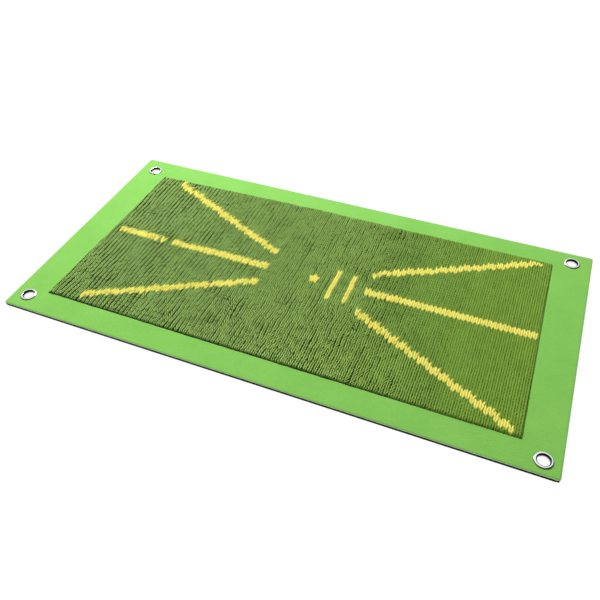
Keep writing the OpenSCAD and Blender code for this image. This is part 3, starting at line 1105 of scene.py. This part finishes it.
def buildEyelets():
    bore, barrel, flange = eyelet["boreRadius"], eyelet["barrelRadius"], eyelet["flangeRadius"]
    lip, foot, root = eyelet["lipHeight"], feltTop - eyelet["flangeSink"], eyelet["root"]
    profile = arc(bore, flange, feltTop, eyelet["flangeHeight"], 180, 0, 16)
    profile += [(flange - eyelet["flangeLip"], foot), (barrel + root, foot)]
    profile += [(barrel, foot - root), (barrel, lip)]
    profile += arc(bore, eyelet["lipRadius"], lip, lip, 0, -180, 12)
    rim, top, play, edge = (eyelet[key] for key in ("washerRadius", "washerTop", "washerPlay", "washerEdge"))
    ring = [
        (barrel + play, lip + 0.1 * mm), (barrel + edge, lip), (rim - edge, lip), (rim, lip + edge),
        (rim, top - edge), (rim - edge, top), (barrel + play, top),
    ]
    for corner, centre in eyeletAt.items():
        body = turnPiece("eyelet_body_" + corner, profile, centre, chromePlate, splitLip, unshadedAt)
        linkPiece(body, "eyelet_chrome", "eyelet_" + corner)
        washer = turnPiece("eyelet_washer_" + corner, ring, centre, dullPlate)
        linkPiece(washer, "washer_steel", "washer_" + corner)


buildFelt()
print("felt made")
buildEyelets()
print("eyelets made")


rubber = {
    "spacing": 4 * mm, "dimple": 0.35 * mm, "edge": 0.12 * mm, "cornerRadius": 2 * mm, "recessPlay": 0.3 * mm,
}


def buildRubber():  # a slab whose underside is a grid of shallow pyramids
    halfX, halfY = matHigh.x, matHigh.y
    nx, ny = round(2 * halfX / rubber["spacing"]), round(2 * halfY / rubber["spacing"])
    bm = bmesh.new()

    def putPoint(i, j, z):
        x, y = -halfX + 2 * halfX * i / nx, -halfY + 2 * halfY * j / ny
        x, y = roundCorner(x, y, halfX, halfY, rubber["cornerRadius"])
        return bm.verts.new((x, y, z))

    def putLayer(z):
        return [[putPoint(i, j, z) for i in range(nx + 1)] for j in range(ny + 1)]

    bottom, top = putLayer(0.0), putLayer(baseTop)
    cells = []
    for j in range(ny):
        for i in range(nx):
            cell = bm.faces.new((bottom[j][i], bottom[j + 1][i], bottom[j + 1][i + 1], bottom[j][i + 1]))
            if 0 < i < nx - 1 and 0 < j < ny - 1:
                cells.append(cell)
            bm.faces.new((top[j][i], top[j][i + 1], top[j + 1][i + 1], top[j + 1][i]))
    rim = [(i, 0) for i in range(nx)] + [(nx, j) for j in range(ny)]
    rim += [(i, ny) for i in range(nx, 0, -1)] + [(0, j) for j in range(ny, 0, -1)]
    for (i, j), (k, l) in zip(rim, rim[1:] + rim[:1]):
        bm.faces.new((bottom[j][i], bottom[l][k], top[l][k], top[j][i]))
    for v in bmesh.ops.poke(bm, faces=cells, center_mode="MEAN")["verts"]:
        v.co.z += rubber["dimple"]
    bmesh.ops.recalc_face_normals(bm, faces=bm.faces)
    obj = meshObject("base_rubber", meshFrom(bm, "base_rubber"), rubberBlack)
    soften = obj.modifiers.new("edge", "BEVEL")
    soften.width, soften.segments = rubber["edge"], 2
    soften.limit_method, soften.angle_limit = "ANGLE", math.radians(60)
    settle(obj)
    cutRounds(obj, eyelet["washerRadius"] + rubber["recessPlay"], -2 * mm, eyelet["washerTop"])
    cutRounds(obj, eyelet["barrelRadius"], -2 * mm, baseTop + 2 * mm)
    roundShade(obj.data, 20)
    linkPiece(obj, "base_rubber", "base_pad")


buildRubber()
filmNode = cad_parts["bond_film"]
filmNode.data.materials.clear()
filmNode.data.materials.append(hotMelt)
print("rubber base made")


stage = {
    "dark": (0.04, 0.04, 0.04), "light": (0.06, 0.06, 0.06), "glow": 0.98, "size": 6.0, "below": 0.15 * mm,
}
lights = {
    "softBox": 0.98, "room": 0.03, "faces": (-0.35, 0.60, 0.72), "edge": (0.54, 0.80),
    "key": {"at": (-0.62, 0.75, 1.00), "size": 0.5, "power": 20.0},
    "fill": {"at": (0.60, -1.20, 0.90), "size": 1.2, "power": 0.4},
}
shot = {"aim": (7.5 * mm, -33.3 * mm, feltTop), "distance": 0.7443, "azimuth": 23.61, "elevation": 44.62,
        "roll": -1.63, "lens": 39.02}


def buildStage():
    material, tree, shader, place = startMaterial("paleFloor", roughness=0.9, specular=0.0)
    colour = blendColours(tree, addDrift(tree, place, 0.5, 0.2), stage["dark"], stage["light"])
    tree.links.new(colour, shader.inputs["Base Color"])
    shader.inputs["Emission Color"].default_value = (1, 1, 1, 1)
    shader.inputs["Emission Strength"].default_value = stage["glow"]
    bm = bmesh.new()
    bmesh.ops.create_grid(bm, x_segments=2, y_segments=2, size=stage["size"])
    floor = meshObject("floor", meshFrom(bm, "floor"), material)
    floor.location.z = -stage["below"]


def addLamp(name):
    values = lights[name]
    lamp = bpy.data.lights.new(name + "Lamp", "AREA")
    lamp.shape, lamp.size, lamp.energy = "DISK", values["size"], values["power"]
    obj = bpy.data.objects.new(name + "Lamp", lamp)
    scene.collection.objects.link(obj)
    obj.location = values["at"]
    obj.rotation_euler = (-Vector(values["at"])).to_track_quat("-Z", "Y").to_euler()


def buildWorld():  # one large soft box high behind the mat in a dark room, for the plating to mirror
    world = bpy.data.worlds.new("studio")
    world.use_nodes = True
    tree = world.node_tree
    background = tree.nodes["Background"]
    background.inputs["Strength"].default_value = 1.0
    towards = addNode(tree, "ShaderNodeVectorMath", {
        0: tree.nodes.new("ShaderNodeTexCoord").outputs["Generated"],
        1: Vector(lights["faces"]).normalized()}, operation="DOT_PRODUCT").outputs["Value"]
    low, high = lights["edge"]
    level = addNode(tree, "ShaderNodeMapRange", {
        "Value": towards, "From Min": low, "From Max": high, "To Min": lights["room"],
        "To Max": lights["softBox"]}, interpolation_type="SMOOTHSTEP")
    seen = tree.nodes.new("ShaderNodeLightPath").outputs["Is Camera Ray"]  # the backdrop itself is pale
    tree.links.new(calc(tree, "MAXIMUM", level.outputs["Result"], seen), background.inputs["Color"])
    scene.world = world


def buildCamera():
    azimuth, elevation = math.radians(shot["azimuth"]), math.radians(shot["elevation"])
    level = math.cos(elevation)
    back = Vector((math.sin(azimuth) * level, -math.cos(azimuth) * level, math.sin(elevation)))
    camera = bpy.data.objects.new("camera", bpy.data.cameras.new("camera"))
    camera.data.lens, camera.data.sensor_width = shot["lens"], 36
    camera.location = Vector(shot["aim"]) + back * shot["distance"]
    camera.rotation_mode = "QUATERNION"
    roll = Quaternion((0, 0, 1), math.radians(shot["roll"]))
    camera.rotation_quaternion = (-back).to_track_quat("-Z", "Y") @ roll
    camera.data.clip_start, camera.data.clip_end = 0.01, 50
    scene.collection.objects.link(camera)
    scene.camera = camera


buildStage()
buildWorld()
addLamp("key")
addLamp("fill")
scene.view_settings.view_transform = "Standard"
buildCamera()
print("stage and camera set")
